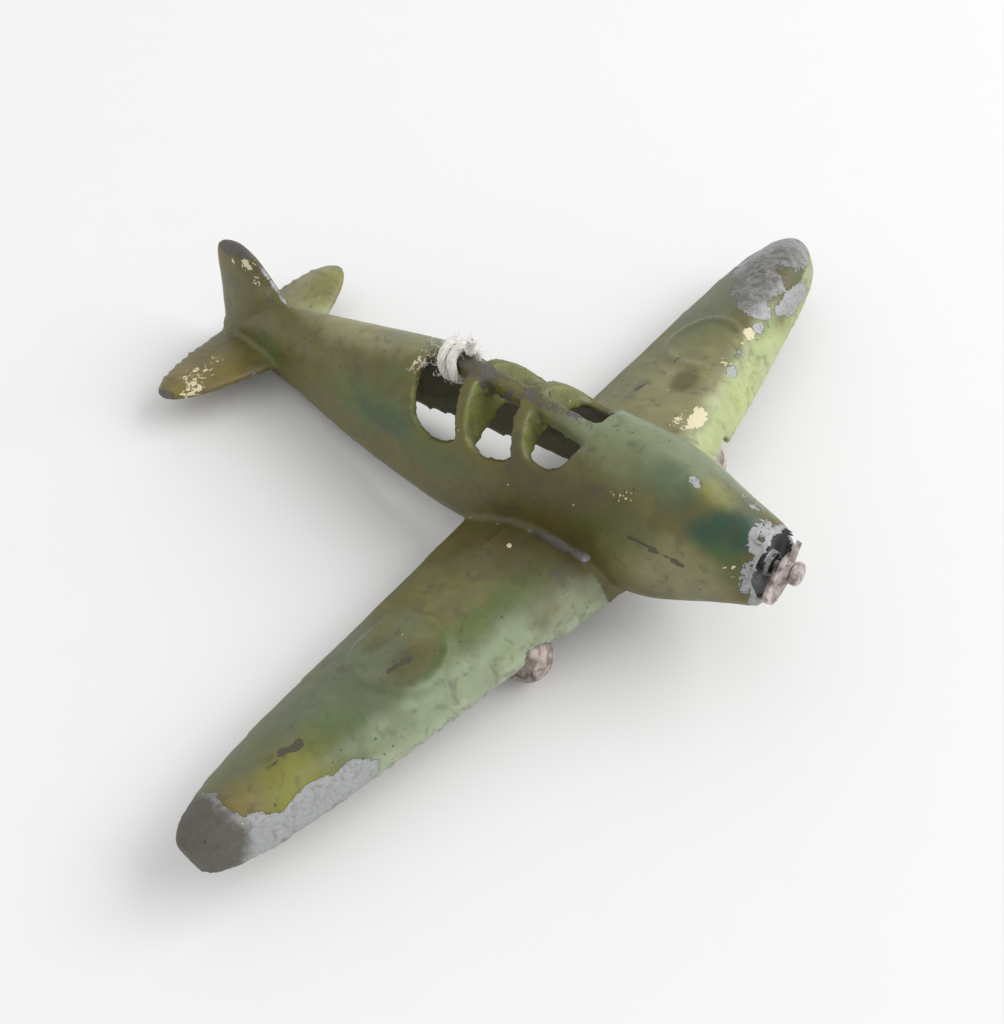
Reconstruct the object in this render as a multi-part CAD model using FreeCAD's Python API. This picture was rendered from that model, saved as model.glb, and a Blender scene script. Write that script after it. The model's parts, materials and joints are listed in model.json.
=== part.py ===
"""Cast toy monoplane: one hollow metal casting with an open cage canopy, a broken tin
propeller on a pin, two wheels on a wire axle and a scrap of string round the canopy.

Everything is drawn in the casting's own level frame (X forward, Y to port, Z up, X = 0 at
the wing's leading edge where it leaves the fuselage), then pitched nose-up until the wheels
and the tail stand on Z = 0. All sizes are in millimetres.
"""
import FreeCAD, Part
import math
import os

Vector = FreeCAD.Vector

# ---- overall sizes ----------------------------------------------------------------
HALF_SPAN = 60.0
NOSE_LENGTH = 16.5          # wing leading edge to nose face
TAIL_LENGTH = 69.6          # wing leading edge to the end of the tail

# ---- fuselage: a fraction of the nose or tail length, half width, bottom, top ----------
TAIL_STATIONS = [
    (1.000, 1.1, 1.6, 5.6),
    (0.940, 1.7, 1.25, 8.8),
    (0.860, 2.6, 0.6, 11.0),
    (0.740, 4.2, -0.8, 12.2),
    (0.610, 6.1, -2.3, 13.2),
    (0.480, 7.6, -3.6, 14.3),
    (0.350, 8.7, -4.5, 14.7),
    (0.210, 8.8, -4.9, 14.6),
    (0.070, 8.2, -5.0, 14.2),
]
NOSE_STATIONS = [
    (0.250, 7.6, -4.6, 13.2),
    (0.550, 6.4, -2.9, 11.0),
    (0.800, 5.2, -1.4, 9.0),
    (1.000, 4.2, -0.6, 7.5),
]
WIDEST_HEIGHT = 0.37        # height of the widest point, as a share of the depth
BELLY_SQUARENESS = 3.0      # exponent of the lower half of a section; 2 is an ellipse
SHELL_WALL = 1.2
BELLY_LIP = 1.5             # wall thickness round the belly opening
TAIL_CAVITY_END = 54.0      # behind the leading edge
NOSE_CAVITY_END = 6.0       # ahead of the leading edge
BELLY_OPENING_REAR = 50.0   # behind the leading edge
BELLY_OPENING_FRONT = 15.5

# ---- canopy ------------------------------------------------------------------------
WINDOWS = [                 # rear end, front end, lowest point of the sill
    (-28.4, -21.4, 8.2),
    (-20.0, -13.6, 8.7),
    (-12.35, -6.7, 9.8),
]
SILL_END_RISE = 1.3         # the sill curves up this much at each end of a window
HOOP_RAKE = 0.41            # the hoops lean back this much per unit of height
WINDSCREEN_REACH = 1.2      # the front window runs this much further forward, higher up
WINDSCREEN_RISE = 1.9       # above the sill, where its front end starts
WINDSCREEN_TOP_RISE = 3.4   # above the sill, where it ends
SPINE_WIDTH = 2.1
SPINE_DEPTH = 2.0           # inwards from the outer surface
SPINE_LEAN = 0.116          # to starboard per unit forward
SPINE_CROSSING = -19.8      # where it lies over the centre line
HOOP_WEBS = [               # height of each hoop's lower edge: at the sides, in the middle
    (8.3, 9.9),
    (9.4, 11.3),
]
HOOP_WEB_HALF_WIDTH = 6.3

# ---- wing --------------------------------------------------------------------------
ROOT_FRONT = 1.7            # the leading edge at the centre line
ROOT_CHORD = 22.3
LEADING_SWEEP = 0.178       # rearward per unit of span
TRAILING_SWEEP = 0.045      # forward per unit of span
LEADING_CURVE_START = 45.0
TRAILING_CURVE_START = 42.0
TIP_SETBACK = 13.2
TIP_FULLNESS = 2.7          # exponent of the tip's outline; 2 is an ellipse
ROOT_THICKNESS = 5.6
TIP_THICKNESS = 4.3
LOWER_SHARE = 0.1           # of the thickness, below the mould joint: the underside is flat
TRAILING_THICKNESS = 0.9
DIHEDRAL = 2.3              # degrees
SEAM_HEIGHT = -4.5          # leading edge at the root
TRAILING_HEIGHT = -1.9
CAMBER = 0.8
FLASH_PROUD = 0.25
FLASH_THICKNESS = 0.35

# ---- cast rings on the wings ---------------------------------------------------------
RING_SPAN_POSITION = 30.6
RING_SETBACK = 10.9
RING_RADIUS = 5.4
RING_WIDTH = 0.8
RING_PROUD = 0.35

# ---- tail surfaces -------------------------------------------------------------------
STABILIZER_HALF_SPAN = 17.1
STABILIZER_HEIGHT = 3.8
STABILIZER_DIHEDRAL = 5.9   # degrees
STABILIZER_THICKNESS = 2.4
STABILIZER_CHORD = 14.0
STABILIZER_SWEEP = 0.27
FIN_TOP = 19.5
FIN_THICKNESS = 2.6
RIB_RADIUS = 0.42
RIB_LENGTH = 3.6
RIB_PITCH = 1.45
RIBS_PER_SIDE = 8

# ---- wheels and axle -----------------------------------------------------------------
WHEEL_RADIUS = 4.1
WHEEL_WIDTH = 3.4
WHEEL_OUTER_FACE = 20.2     # from the centre line
AXLE_SETBACK = 5.2
AXLE_HEIGHT = -5.85
AXLE_RADIUS = 0.6
RUNNING_CLEARANCE = 0.05
SIDE_CLEARANCE = 0.3
WELL_CLEARANCE = 0.55
LUG_RADIUS = 1.35
LUG_THICKNESS = 2.6
PEEN_RADIUS = 1.15
PEEN_THICKNESS = 0.6

# ---- propeller and its pin -------------------------------------------------------------
SHAFT_HEIGHT = 3.5
PROPELLER_THICKNESS = 0.6
PROPELLER_GAP = 0.75
PROPELLER_ANGLE = 22.6      # degrees above level, port side up
HUB_RADIUS = 1.8
LONG_STUB = 4.4
LONG_STUB_HALF_WIDTH = 1.4
SHORT_STUB = 3.0
SHORT_STUB_HALF_WIDTH = 1.6
BLADE_TWIST = 14.0          # degrees, of each stub about its own length
PIN_RADIUS = 0.6
PIN_DEPTH = 6.0
PIN_HEAD_RADIUS = 1.35
PIN_HEAD_THICKNESS = 0.9
SLEEVE_RADIUS = 1.1
SLEEVE_LENGTH = 0.55
NOSE_RECESS_RADIUS = 3.9
NOSE_RECESS_DEPTH = 1.3
BOSS_RADIUS = 1.5

# ---- string ----------------------------------------------------------------------------
STRING_DIAMETER = 1.1
STRING_STATION = -26.8
STRING_TURNS = 2
STRING_GAP = 0.12


def section_wire(x, half_width, bottom, top):
    """Closed upright outline: an ellipse above the widest point, squarer below it."""
    middle = bottom + WIDEST_HEIGHT * (top - bottom)
    count = 24
    points = []
    for i in range(count):
        turn = 2 * math.pi * i / count
        across = math.cos(turn)
        up = math.sin(turn)
        if up >= 0:
            points.append(Vector(x, half_width * across, middle + (top - middle) * up))
            continue
        power = 2 / BELLY_SQUARENESS
        wide = math.copysign(abs(across) ** power, across)
        deep = abs(up) ** power
        points.append(Vector(x, half_width * wide, middle - (middle - bottom) * deep))
    curve = Part.BSplineCurve()
    curve.interpolate(Points=points, PeriodicFlag=True)
    return Part.Wire([curve.toShape()])


def fuselage_stations():
    """Station list (x, half width, bottom, top) from the tail to the nose."""
    tail = [(-TAIL_LENGTH * share, *sizes) for share, *sizes in TAIL_STATIONS]
    nose = [(NOSE_LENGTH * share, *sizes) for share, *sizes in NOSE_STATIONS]
    return tail + nose


def fuselage_at(x):
    """Half width, bottom and top at x, straight between the stations."""
    stations = fuselage_stations()
    for rear, front in zip(stations, stations[1:]):
        if x <= front[0] or front is stations[-1]:
            share = (x - rear[0]) / (front[0] - rear[0])
            return [a + share * (b - a) for a, b in zip(rear[1:], front[1:])]


def fuselage_loft(start, end, inset, floor_drop=0.0):
    """The fuselage's own form between two places, drawn in by inset all round."""
    places = [start]
    places += [s[0] for s in fuselage_stations() if start + 2 < s[0] < end - 2]
    places.append(end)
    wires = []
    for x in places:
        half_width, bottom, top = fuselage_at(x)
        wires.append(section_wire(x, half_width - inset, bottom + inset - floor_drop, top - inset))
    return Part.makeLoft(wires, True, False)


def box_between(low, high):
    size = [b - a for a, b in zip(low, high)]
    return Part.makeBox(*size, Vector(*low))


# ---- wing ---------------------------------------------------------------------------------
def tip_curve(y, start):
    """0 on the straight part of an edge, 1 at the tip, elliptical between them."""
    if y <= start:
        return 0.0
    share = (y - start) / (HALF_SPAN - start)
    return 1 - max(0.0, 1 - share ** TIP_FULLNESS) ** (1 / TIP_FULLNESS)


def leading_edge(y):
    straight = ROOT_FRONT - LEADING_SWEEP * y
    shortfall = ROOT_FRONT - LEADING_SWEEP * HALF_SPAN + TIP_SETBACK
    return straight - shortfall * tip_curve(y, LEADING_CURVE_START)


def trailing_edge(y):
    straight = ROOT_FRONT - ROOT_CHORD + TRAILING_SWEEP * y
    shortfall = ROOT_CHORD - ROOT_FRONT - TRAILING_SWEEP * HALF_SPAN - TIP_SETBACK
    return straight + shortfall * tip_curve(y, TRAILING_CURVE_START)


def wing_thickness(y):
    straight = ROOT_THICKNESS + (TIP_THICKNESS - ROOT_THICKNESS) * y / HALF_SPAN
    return straight * (1 - 0.8 * tip_curve(y, TRAILING_CURVE_START))


def chord_height(y, share):
    """Height of the chord line at a share of the chord behind the leading edge."""
    rise = y * math.tan(math.radians(DIHEDRAL))
    return SEAM_HEIGHT + share * (TRAILING_HEIGHT - SEAM_HEIGHT) + rise


def thickness_from_chord(y, share, side):
    """Blunt-nosed section: fullest a third of the way back, thin at the trailing edge."""
    shape = 2.969 * math.sqrt(share) - 1.26 * share - 3.516 * share ** 2
    shape += 2.843 * share ** 3 - 1.015 * share ** 4
    edge = min(TRAILING_THICKNESS, wing_thickness(y) / 2)
    part = 1 - LOWER_SHARE if side > 0 else LOWER_SHARE
    return part * wing_thickness(y) * max(shape, 0.0) + 0.5 * edge * share


def wing_point(y, share, side):
    """A point of the section at y; side is +1 on the upper surface, -1 on the lower."""
    chord = leading_edge(y) - trailing_edge(y)
    x = leading_edge(y) - share * chord
    arch = CAMBER * 4 * share * (1 - share) * chord / ROOT_CHORD
    return Vector(x, y, chord_height(y, share) + arch + side * thickness_from_chord(y, share, side))


def wing_wire(y):
    shares = [1.0, 0.8, 0.6, 0.42, 0.27, 0.15, 0.07, 0.02]
    upper = [wing_point(y, s, 1) for s in shares]
    lower = [wing_point(y, s, -1) for s in reversed(shares)]
    points = upper + [wing_point(y, 0.0, 1)] + lower
    curve = Part.BSplineCurve()
    curve.interpolate(Points=points)
    return Part.Wire([curve.toShape(), Part.makeLine(points[-1], points[0])])


def half_wing():
    """Starboard and port halves are mirror images; this is the port one."""
    tip_places = [0.78, 0.86, 0.92, 0.965, 0.99, 0.9985]
    places = [0.0, 0.26 * HALF_SPAN, 0.52 * HALF_SPAN] + [HALF_SPAN * s for s in tip_places]
    return Part.makeLoft([wing_wire(y) for y in places], True, False)


def seam_flash():
    """The thin line of metal squeezed out along the mould joint of the leading edge."""
    places = [6.0 + (0.9 * HALF_SPAN - 6.0) * i / 7 for i in range(8)]
    wires = []
    for y in places:
        front = leading_edge(y) + FLASH_PROUD
        low = chord_height(y, 0.0) - FLASH_THICKNESS / 2
        corners = [(front - 1.5, low), (front, low), (front, low + FLASH_THICKNESS)]
        corners.append((front - 1.5, low + FLASH_THICKNESS))
        wires.append(Part.makePolygon([Vector(x, y, z) for x, z in corners + corners[:1]]))
    return Part.makeLoft(wires, True, True)


def wing_ring(wing):
    """The raised ring: a slice of the wing's own surface, lifted by the ring's height."""
    centre = Vector(-RING_SETBACK, RING_SPAN_POSITION, -10)
    tube = Part.makeCylinder(RING_RADIUS, 20, centre)
    tube = tube.cut(Part.makeCylinder(RING_RADIUS - RING_WIDTH, 20, centre))
    lifted = wing.translated(Vector(0, 0, RING_PROUD))
    middle = box_between((-40, 0, chord_height(RING_SPAN_POSITION, 0.5)), (10, 99, 20))
    return lifted.common(tube).common(middle)


# ---- tail surfaces --------------------------------------------------------------------------
def ellipse_wire(centre, along, across, half_along, half_across):
    """An elliptical outline about a centre, in the plane of two directions."""
    points = []
    for i in range(16):
        turn = 2 * math.pi * i / 16
        point = centre + along * (half_along * math.cos(turn))
        points.append(point + across * (half_across * math.sin(turn)))
    curve = Part.BSplineCurve()
    curve.interpolate(Points=points, PeriodicFlag=True)
    return Part.Wire([curve.toShape()])


def stabilizer_edges(y):
    """Front and rear of the tailplane at y; both curve in to a rounded tip."""
    share = y / STABILIZER_HALF_SPAN
    round_off = 1 - math.sqrt(max(0.0, 1 - share ** 5))
    rear = -TAIL_LENGTH + 0.1 + 0.14 * y
    front = -TAIL_LENGTH + STABILIZER_CHORD - STABILIZER_SWEEP * y
    middle = 0.5 * (front + rear)
    return [middle + (edge - middle) * (1 - round_off) for edge in (rear, front)]


def half_stabilizer():
    wires = []
    slope = math.tan(math.radians(STABILIZER_DIHEDRAL))
    for share in (0.0, 0.4, 0.7, 0.85, 0.94, 0.985, 0.998):
        y = share * STABILIZER_HALF_SPAN
        rear, front = stabilizer_edges(y)
        centre = Vector((rear + front) / 2, y, STABILIZER_HEIGHT + slope * y)
        thin = STABILIZER_THICKNESS / 2 * (1 - 0.75 * share ** 8)
        wires.append(ellipse_wire(centre, Vector(1, 0, 0), Vector(0, 0, 1), (front - rear) / 2, thin))
    return Part.makeLoft(wires, True, False)


def stabilizer_ribs():
    """Short ribs across the rear edge of the tailplane's upper side."""
    ribs = []
    slope = math.tan(math.radians(STABILIZER_DIHEDRAL))
    for i in range(RIBS_PER_SIDE):
        y = STABILIZER_HALF_SPAN - 3.0 - i * RIB_PITCH
        rear = stabilizer_edges(y)[0]
        base = Vector(rear + 0.05, y, STABILIZER_HEIGHT + slope * y + 0.15)
        ribs.append(Part.makeCylinder(RIB_RADIUS, RIB_LENGTH, base, Vector(1, 0, 0.2)))
    return ribs


def fin():
    """Height share, rear edge and front edge from the tail's end, thickness share."""
    levels = [
        (0.30, 0.3, 19.4, 1.35),
        (0.47, 1.1, 17.0, 1.15),
        (0.62, 1.8, 14.8, 1.0),
        (0.80, 2.6, 12.4, 0.9),
        (0.93, 3.4, 10.4, 0.75),
        (0.985, 4.4, 8.8, 0.55),
        (1.00, 5.4, 7.7, 0.25),
    ]
    wires = []
    for height, rear, front, thick in levels:
        centre = Vector(-TAIL_LENGTH + (rear + front) / 2, 0, FIN_TOP * height)
        half_thick = FIN_THICKNESS * thick / 2
        wires.append(ellipse_wire(centre, Vector(1, 0, 0), Vector(0, 1, 0), (front - rear) / 2, half_thick))
    return Part.makeLoft(wires, True, False)


# ---- canopy ---------------------------------------------------------------------------------
def raked(x, sill, height):
    """Where an upright canopy edge that meets its sill's end at x has reached, at a height."""
    return x - HOOP_RAKE * (height - sill - SILL_END_RISE)


def window_cutter(rear, front, sill, is_front):
    """A hole right through both sides with a dipped sill and raked ends."""
    high = 30.0
    start = Vector(rear, -15, sill + SILL_END_RISE)
    middle = Vector((rear + front) / 2, -15, sill)
    if is_front:
        foot = Vector(front, -15, sill + WINDSCREEN_RISE)
        reach = front + WINDSCREEN_REACH
        ends = [foot, Vector(reach, -15, sill + WINDSCREEN_TOP_RISE), Vector(reach, -15, high)]
    else:
        foot = Vector(front, -15, sill + SILL_END_RISE)
        ends = [foot, Vector(raked(front, sill, high), -15, high)]
    ends += [Vector(raked(rear, sill, high), -15, high), start]
    sides = [Part.makeLine(first, second) for first, second in zip(ends, ends[1:])]
    outline = Part.Wire([Part.Arc(start, middle, foot).toShape()] + sides)
    return Part.Face(outline).extrude(Vector(0, 30, 0))


def spine_middle(x):
    """The spine's distance to port of the centre line at x."""
    return -SPINE_LEAN * (x - SPINE_CROSSING)


def spine_slab():
    """An upright slab over the cabin, leaning to starboard as it goes forward."""
    corners = []
    for x in (WINDOWS[0][0] - 6, WINDOWS[-1][1] + WINDSCREEN_REACH + 2):
        corners.append([Vector(x, spine_middle(x) + side * SPINE_WIDTH / 2, 0) for side in (1, -1)])
    (rear_port, rear_starboard), (front_port, front_starboard) = corners
    outline = [rear_port, rear_starboard, front_starboard, front_port, rear_port]
    return Part.Face(Part.makePolygon(outline)).extrude(Vector(0, 0, 30))


def hoop_slabs():
    """A raked slab between each pair of windows, above its hoop's lower edge."""
    slabs = []
    for behind, ahead, (side_height, middle_height) in zip(WINDOWS, WINDOWS[1:], HOOP_WEBS):
        low, high = side_height - 6, 30
        edges = [(behind[1], behind[2], low), (ahead[0], ahead[2], low)]
        edges += [(ahead[0], ahead[2], high), (behind[1], behind[2], high)]
        corners = [Vector(raked(x, sill, z), -15, z) for x, sill, z in edges]
        slab = Part.Face(Part.makePolygon(corners + corners[:1])).extrude(Vector(0, 30, 0))
        fall = (middle_height - side_height) * 15 / HOOP_WEB_HALF_WIDTH
        rear = WINDOWS[0][0] - 20
        above = [Vector(rear, -15, high), Vector(rear, 15, high)]
        above += [Vector(rear, 15, middle_height - fall), Vector(rear, 0, middle_height)]
        above += [Vector(rear, -15, middle_height - fall), Vector(rear, -15, high)]
        slabs.append(slab.common(Part.Face(Part.makePolygon(above)).extrude(Vector(60, 0, 0))))
    return slabs


def cabin_hollow():
    """The inside of the shell, less the spine's extra depth and the hoops' webs."""
    hollow = fuselage_loft(-TAIL_CAVITY_END, NOSE_CAVITY_END, SHELL_WALL)
    rear = WINDOWS[0][0] - 7
    front = WINDOWS[-1][1] + WINDSCREEN_REACH + 4
    spine = spine_slab().common(hollow).cut(fuselage_loft(rear, front, SPINE_DEPTH))
    webs = [slab.common(hollow) for slab in hoop_slabs()]
    return hollow.cut(spine.fuse(webs))


def belly_cutter():
    """The way out of the cabin through the underside, inside the thicker lip."""
    drop = 3 * BELLY_LIP
    outline = fuselage_loft(-BELLY_OPENING_REAR, -BELLY_OPENING_FRONT, BELLY_LIP, drop)
    return outline.common(box_between((-TAIL_LENGTH, -15, -30), (NOSE_LENGTH, 15, 2)))


# ---- undercarriage ----------------------------------------------------------------------------
def side_cylinder(radius, inner, outer, side):
    """A cylinder on the axle's line between two distances from the centre line."""
    start = Vector(-AXLE_SETBACK, side * inner, AXLE_HEIGHT)
    return Part.makeCylinder(radius, outer - inner, start, Vector(0, side, 0))


def wheel_inner_face():
    return WHEEL_OUTER_FACE - WHEEL_WIDTH


def wheel_well(side):
    inner = wheel_inner_face() - SIDE_CLEARANCE
    outer = WHEEL_OUTER_FACE + PEEN_THICKNESS + SIDE_CLEARANCE
    return side_cylinder(WHEEL_RADIUS + WELL_CLEARANCE, inner, outer, side)


def axle_lug(side):
    """A cast ear from the wing's underside down round the axle."""
    outer = wheel_inner_face() - SIDE_CLEARANCE
    inner = outer - LUG_THICKNESS
    barrel = side_cylinder(LUG_RADIUS, inner, outer, side)
    low = (-AXLE_SETBACK - LUG_RADIUS, min(side * inner, side * outer), AXLE_HEIGHT)
    high = (-AXLE_SETBACK + LUG_RADIUS, max(side * inner, side * outer), SEAM_HEIGHT + 0.8)
    return barrel.fuse(box_between(low, high))


def wheel(side):
    """A cast disc wheel: rounded tread, dished outer face and a raised hub."""
    half = WHEEL_WIDTH / 2
    hub = PEEN_RADIUS + 0.35
    bore = AXLE_RADIUS + RUNNING_CLEARANCE
    dish = 0.45
    crown = 0.5
    shoulder = WHEEL_RADIUS - crown
    tread = [(-half, shoulder), (0, WHEEL_RADIUS), (half, shoulder)]
    profile = [
        Part.makeLine(Vector(0, -half, bore), Vector(0, -half, shoulder)),
        Part.Arc(*[Vector(0, y, z) for y, z in tread]).toShape(),
        Part.makeLine(Vector(0, half, shoulder), Vector(0, half, shoulder - 0.5)),
        Part.makeLine(Vector(0, half, shoulder - 0.5), Vector(0, half - dish, shoulder - 0.9)),
        Part.makeLine(Vector(0, half - dish, shoulder - 0.9), Vector(0, half - dish, hub + 0.3)),
        Part.makeLine(Vector(0, half - dish, hub + 0.3), Vector(0, half, hub)),
        Part.makeLine(Vector(0, half, hub), Vector(0, half, bore)),
        Part.makeLine(Vector(0, half, bore), Vector(0, -half, bore)),
    ]
    disc = Part.Face(Part.Wire(profile)).revolve(Vector(0, 0, 0), Vector(0, 1, 0), 360)
    if side < 0:
        disc = disc.mirror(Vector(0, 0, 0), Vector(0, 1, 0))
    centre = side * (WHEEL_OUTER_FACE - half)
    return disc.translated(Vector(-AXLE_SETBACK, centre, AXLE_HEIGHT))


def axle():
    """A straight wire through both lugs and wheels, peened over at its ends."""
    end = WHEEL_OUTER_FACE + 0.1
    wire = side_cylinder(AXLE_RADIUS, -end, end, 1)
    peens = [side_cylinder(PEEN_RADIUS, end, end + PEEN_THICKNESS, side) for side in (1, -1)]
    return wire.fuse(peens)


# ---- propeller -------------------------------------------------------------------------------
def disc_at(radius, start, end):
    """A cylinder along the propeller's line between two places in x."""
    return Part.makeCylinder(radius, end - start, Vector(start, 0, SHAFT_HEIGHT), Vector(1, 0, 0))


def propeller_back():
    return NOSE_LENGTH + PROPELLER_GAP


def stub(points, side):
    """One snapped blade: a flat outline in the Y-Z plane, twisted about its own length."""
    back = propeller_back()
    corners = [Vector(back, side * y, SHAFT_HEIGHT + z) for y, z in points]
    outline = Part.makePolygon(corners + corners[:1])
    plate = Part.Face(outline).extrude(Vector(PROPELLER_THICKNESS, 0, 0))
    axis = Vector(back + PROPELLER_THICKNESS / 2, 0, SHAFT_HEIGHT)
    return plate.rotate(axis, Vector(0, side, 0), BLADE_TWIST)


def propeller():
    """Stamped plate with both blades snapped off: a long torn stub and a short jagged one."""
    back = propeller_back()
    wide = LONG_STUB_HALF_WIDTH
    narrow = SHORT_STUB_HALF_WIDTH
    long_stub = stub([
        (0, -wide),
        (0.70 * LONG_STUB, -0.90 * wide),
        (0.92 * LONG_STUB, -0.55 * wide),
        (LONG_STUB, 0.10 * wide),
        (0.95 * LONG_STUB, 0.55 * wide),
        (0.72 * LONG_STUB, 0.85 * wide),
        (0, wide),
    ], -1)
    short_stub = stub([
        (0, narrow),
        (0.75 * SHORT_STUB, 1.05 * narrow),
        (SHORT_STUB, 0.95 * narrow),
        (0.80 * SHORT_STUB, -0.10 * narrow),
        (0.88 * SHORT_STUB, -0.95 * narrow),
        (0, -narrow),
    ], 1)
    hub = disc_at(HUB_RADIUS, back, back + PROPELLER_THICKNESS)
    sleeve = disc_at(SLEEVE_RADIUS, back, back + PROPELLER_THICKNESS + SLEEVE_LENGTH)
    bore = disc_at(PIN_RADIUS + RUNNING_CLEARANCE, back - 1, back + 5)
    whole = hub.fuse([sleeve, long_stub, short_stub]).cut(bore)
    return whole.rotate(Vector(0, 0, SHAFT_HEIGHT), Vector(1, 0, 0), PROPELLER_ANGLE)


def propeller_pin():
    """A round-headed pin driven into the nose."""
    head = propeller_back() + PROPELLER_THICKNESS + SLEEVE_LENGTH + 0.15
    shank = disc_at(PIN_RADIUS, NOSE_LENGTH - PIN_DEPTH, head + 0.1)
    knob = disc_at(PIN_HEAD_RADIUS, head, head + PIN_HEAD_THICKNESS)
    knob = knob.makeFillet(PIN_HEAD_THICKNESS * 0.55, [knob.Edges[0]])
    return shank.fuse(knob)


# ---- casting ----------------------------------------------------------------------------------
def airframe():
    stations = fuselage_stations()
    body = fuselage_loft(stations[0][0], stations[-1][0], 0.0)
    port_wing = half_wing()
    port_parts = [port_wing, wing_ring(port_wing), seam_flash(), half_stabilizer()] + stabilizer_ribs()
    parts = []
    for piece in port_parts:
        parts.append(piece)
        parts.append(piece.mirror(Vector(0, 0, 0), Vector(0, 1, 0)))
    parts.append(fin())
    parts += [axle_lug(side) for side in (1, -1)]
    shell = body.fuse(parts)
    spine = spine_slab()
    hollow = [
        cabin_hollow(),
        belly_cutter(),
        disc_at(NOSE_RECESS_RADIUS, NOSE_LENGTH - NOSE_RECESS_DEPTH, NOSE_LENGTH + 1),
        side_cylinder(AXLE_RADIUS, -WHEEL_OUTER_FACE, WHEEL_OUTER_FACE, 1),
    ]
    hollow += [wheel_well(side) for side in (1, -1)]
    for rear, front, sill in WINDOWS:
        hollow.append(window_cutter(rear, front, sill, front == WINDOWS[-1][1]).cut(spine))
    shell = shell.cut(hollow)
    boss = disc_at(BOSS_RADIUS, NOSE_LENGTH - NOSE_RECESS_DEPTH - 0.5, NOSE_LENGTH)
    shell = shell.fuse(boss)
    bore = disc_at(PIN_RADIUS, NOSE_LENGTH - PIN_DEPTH, NOSE_LENGTH + 1)
    return shell.cut(bore)


# ---- string -----------------------------------------------------------------------------------
def string_wrap():
    """Two turns of string round the spine, as one closed band clear of it on every side."""
    length = STRING_TURNS * STRING_DIAMETER
    start = STRING_STATION - length / 2
    rear, front = start - 2, start + length + 2
    stretch = box_between((start - 0.5, -20, 0), (start + length + 0.5, 20, 40))
    held = spine_slab().common(stretch).common(fuselage_loft(rear, front, 0.0))
    held = held.cut(fuselage_loft(rear, front, SPINE_DEPTH))
    held_box = held.optimalBoundingBox(False, False)
    half_wide = SPINE_WIDTH / 2 + STRING_GAP
    high = held_box.ZMax + STRING_GAP
    low = held_box.ZMin - STRING_GAP
    outer = box_between(
        (start, -half_wide - STRING_DIAMETER, low - STRING_DIAMETER),
        (start + length, half_wide + STRING_DIAMETER, high + STRING_DIAMETER),
    )
    lengthwise = [e for e in outer.Edges if abs(e.tangentAt(e.FirstParameter).x) > 0.9]
    outer = outer.makeFillet(STRING_DIAMETER * 0.95, lengthwise)
    hole = box_between((start - 1, -half_wide, low), (start + length + 1, half_wide, high))
    band = outer.cut(hole)
    turn = -math.degrees(math.atan(SPINE_LEAN))
    band.rotate(Vector(STRING_STATION, 0, 0), Vector(0, 0, 1), turn)
    return band.translated(Vector(0, spine_middle(STRING_STATION), 0))


def stance():
    """Nose-up angle and lift that stand the wheels and the first of the tail on Z = 0."""
    pitches = []
    for share, _, bottom, _ in TAIL_STATIONS:
        reach = TAIL_LENGTH * share - AXLE_SETBACK
        drop = bottom - AXLE_HEIGHT
        if reach > 2 * WHEEL_RADIUS:
            span = math.hypot(reach, drop)
            pitches.append(math.asin(WHEEL_RADIUS / span) + math.atan2(drop, reach))
    pitch = min(pitches)
    axle_rise = AXLE_HEIGHT * math.cos(pitch) - AXLE_SETBACK * math.sin(pitch)
    return pitch, WHEEL_RADIUS - axle_rise


def placed(shape, pitch, lift, shift):
    turned = shape.copy()
    turned.rotate(Vector(0, 0, 0), Vector(0, 1, 0), -math.degrees(pitch))
    return turned.translated(Vector(shift, 0, lift))


def build():
    nodes = {
        "airframe": airframe(),
        "propeller": propeller(),
        "propeller_pin": propeller_pin(),
        "axle": axle(),
        "wheel_starboard": wheel(-1),
        "wheel_port": wheel(1),
        "string_wrap": string_wrap(),
    }
    pitch, lift = stance()
    stood = {name: placed(shape, pitch, lift, 0.0) for name, shape in nodes.items()}
    boxes = [shape.BoundBox for name, shape in stood.items() if name != "string_wrap"]
    shift = -(min(b.XMin for b in boxes) + max(b.XMax for b in boxes)) / 2
    os.makedirs("parts", exist_ok=True)
    for name, shape in stood.items():
        final = shape.translated(Vector(shift, 0, 0))
        final.exportStep(f"parts/{name}.step")
        box = final.BoundBox
        low, high = (box.XMin, box.YMin, box.ZMin), (box.XMax, box.YMax, box.ZMax)
        print(f"{name}: {len(final.Solids)} solid, {final.Volume:.1f} mm3, valid {final.isValid()},",
              "low", [round(v, 2) for v in low], "high", [round(v, 2) for v in high])
    print(f"pitch {math.degrees(pitch):.3f} deg, lift {lift:.3f}, shift {shift:.3f}")
    joint_points = {
        "propeller": Vector(propeller_back(), 0, SHAFT_HEIGHT),
        "wheel_starboard": Vector(-AXLE_SETBACK, -WHEEL_OUTER_FACE + WHEEL_WIDTH / 2, AXLE_HEIGHT),
        "wheel_port": Vector(-AXLE_SETBACK, WHEEL_OUTER_FACE - WHEEL_WIDTH / 2, AXLE_HEIGHT),
    }
    for name, point in joint_points.items():
        spot = placed(Part.Vertex(point), pitch, lift, shift).Point
        print(f"joint {name} {spot.x:.4f} {spot.y:.4f} {spot.z:.4f}")


build()
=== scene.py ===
"""The look of the cast toy aeroplane: worn camouflage enamel over bare metal, a rusty propeller and
wheels, and a wrap of white string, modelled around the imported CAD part."""

import json
import math
import random

import bpy
import numpy as np
from mathutils import Matrix, Vector, noise


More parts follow.
